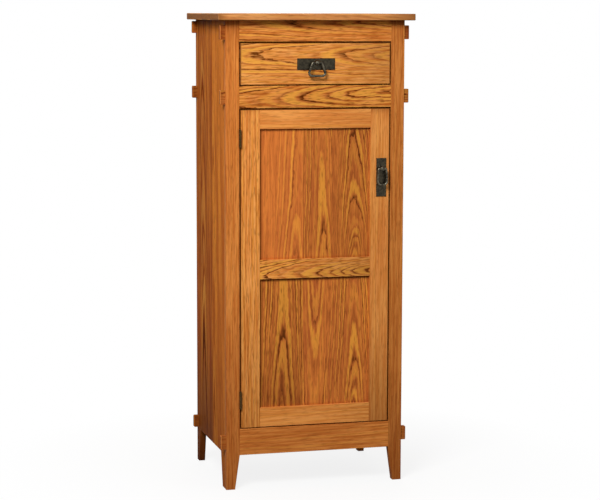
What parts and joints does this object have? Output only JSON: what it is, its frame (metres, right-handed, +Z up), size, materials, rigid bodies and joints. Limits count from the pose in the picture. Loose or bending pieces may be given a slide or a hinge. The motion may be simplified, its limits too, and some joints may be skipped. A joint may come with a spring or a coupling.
{
  "type": "jelly cupboard",
  "caption": "Tall narrow oak cupboard with a drawer over a framed and panelled door, shelves inside, through-tenon joints and ring pulls, standing on tapered feet.",
  "frame": {"origin": "on the floor, under the middle of the top slab", "axes": "+Z up, the front faces -Y, +X to the right of someone facing the front"},
  "size_m": [0.58, 0.445, 1.372],
  "materials": {
    "stained_oak": "satin varnish on stained oak",
    "stained_oak_panel": "satin varnish on stained oak",
    "clear_wood": "clear varnish",
    "plywood": "stained oak-faced plywood",
    "dark_bronze": "dark bronze patina",
    "aged_hinge_metal": "aged",
    "zinc_steel": "zinc plated"
  },
  "bodies": {
    "cabinet": {"top": "stained_oak", "face_stile_left": "stained_oak", "face_stile_right": "stained_oak", "face_rail_top": "stained_oak", "face_rail_middle": "stained_oak", "face_rail_bottom": "stained_oak", "side_left_front_board": "stained_oak", "side_left_back_board": "stained_oak", "side_right_front_board": "stained_oak", "side_right_back_board": "stained_oak", "back_rail_top": "stained_oak", "back_rail_middle": "stained_oak", "back_rail_bottom": "stained_oak", "cabinet_floor": "stained_oak", "shelf_lower": "stained_oak", "shelf_middle": "stained_oak", "shelf_upper": "stained_oak", "catch_block": "stained_oak", "top_cleat_left": "clear_wood", "top_cleat_right": "clear_wood", "drawer_runner_left": "clear_wood", "drawer_runner_right": "clear_wood", "drawer_kicker_left": "clear_wood", "drawer_kicker_right": "clear_wood", "drawer_stops": "clear_wood", "back_panel": "plywood", "hinge_upper_frame_leaf": "aged_hinge_metal", "hinge_lower_frame_leaf": "aged_hinge_metal", "hinge_upper_pin": "aged_hinge_metal", "hinge_lower_pin": "aged_hinge_metal", "hinge_screws_frame": "aged_hinge_metal", "top_screws": "zinc_steel", "shelf_pegs": "zinc_steel", "catch_magnet": "zinc_steel"},
    "door": {"door_stile_left": "stained_oak", "door_stile_right": "stained_oak", "door_rail_top": "stained_oak", "door_rail_middle": "stained_oak", "door_rail_bottom": "stained_oak", "door_panel_upper": "stained_oak_panel", "door_panel_lower": "stained_oak_panel", "hinge_upper_door_leaf": "aged_hinge_metal", "hinge_lower_door_leaf": "aged_hinge_metal", "hinge_screws_door": "aged_hinge_metal", "catch_strike": "zinc_steel", "door_pull_bolt": "zinc_steel", "door_pull_plate": "dark_bronze", "door_pull_post": "dark_bronze"},
    "door_ring": {"door_pull_ring": "dark_bronze"},
    "drawer": {"drawer_front": "stained_oak", "drawer_side_left": "clear_wood", "drawer_side_right": "clear_wood", "drawer_back": "clear_wood", "drawer_bottom": "plywood", "drawer_pull_bolt": "zinc_steel", "drawer_pull_plate": "dark_bronze", "drawer_pull_post": "dark_bronze"},
    "drawer_ring": {"drawer_pull_ring": "dark_bronze"}
  },
  "joints": [
    {"name": "door_hinge", "type": "hinge", "parent": "cabinet", "child": "door", "pos_m": [-0.2234, -0.20155, 0.64], "axis": [0, 0, -1], "range_deg": [0, 175]},
    {"name": "drawer_slide", "type": "slide", "parent": "cabinet", "child": "drawer", "axis": [0, -1, 0], "range_m": [0, 0.28]},
    {"name": "door_ring_swing", "type": "hinge", "parent": "door", "child": "door_ring", "pos_m": [0.197, -0.2105, 0.927], "axis": [-1, 0, 0], "range_deg": [-6, 170]},
    {"name": "drawer_ring_swing", "type": "hinge", "parent": "drawer", "child": "drawer_ring", "pos_m": [0, -0.2105, 1.233], "axis": [-1, 0, 0], "range_deg": [-10, 170]}
  ]
}
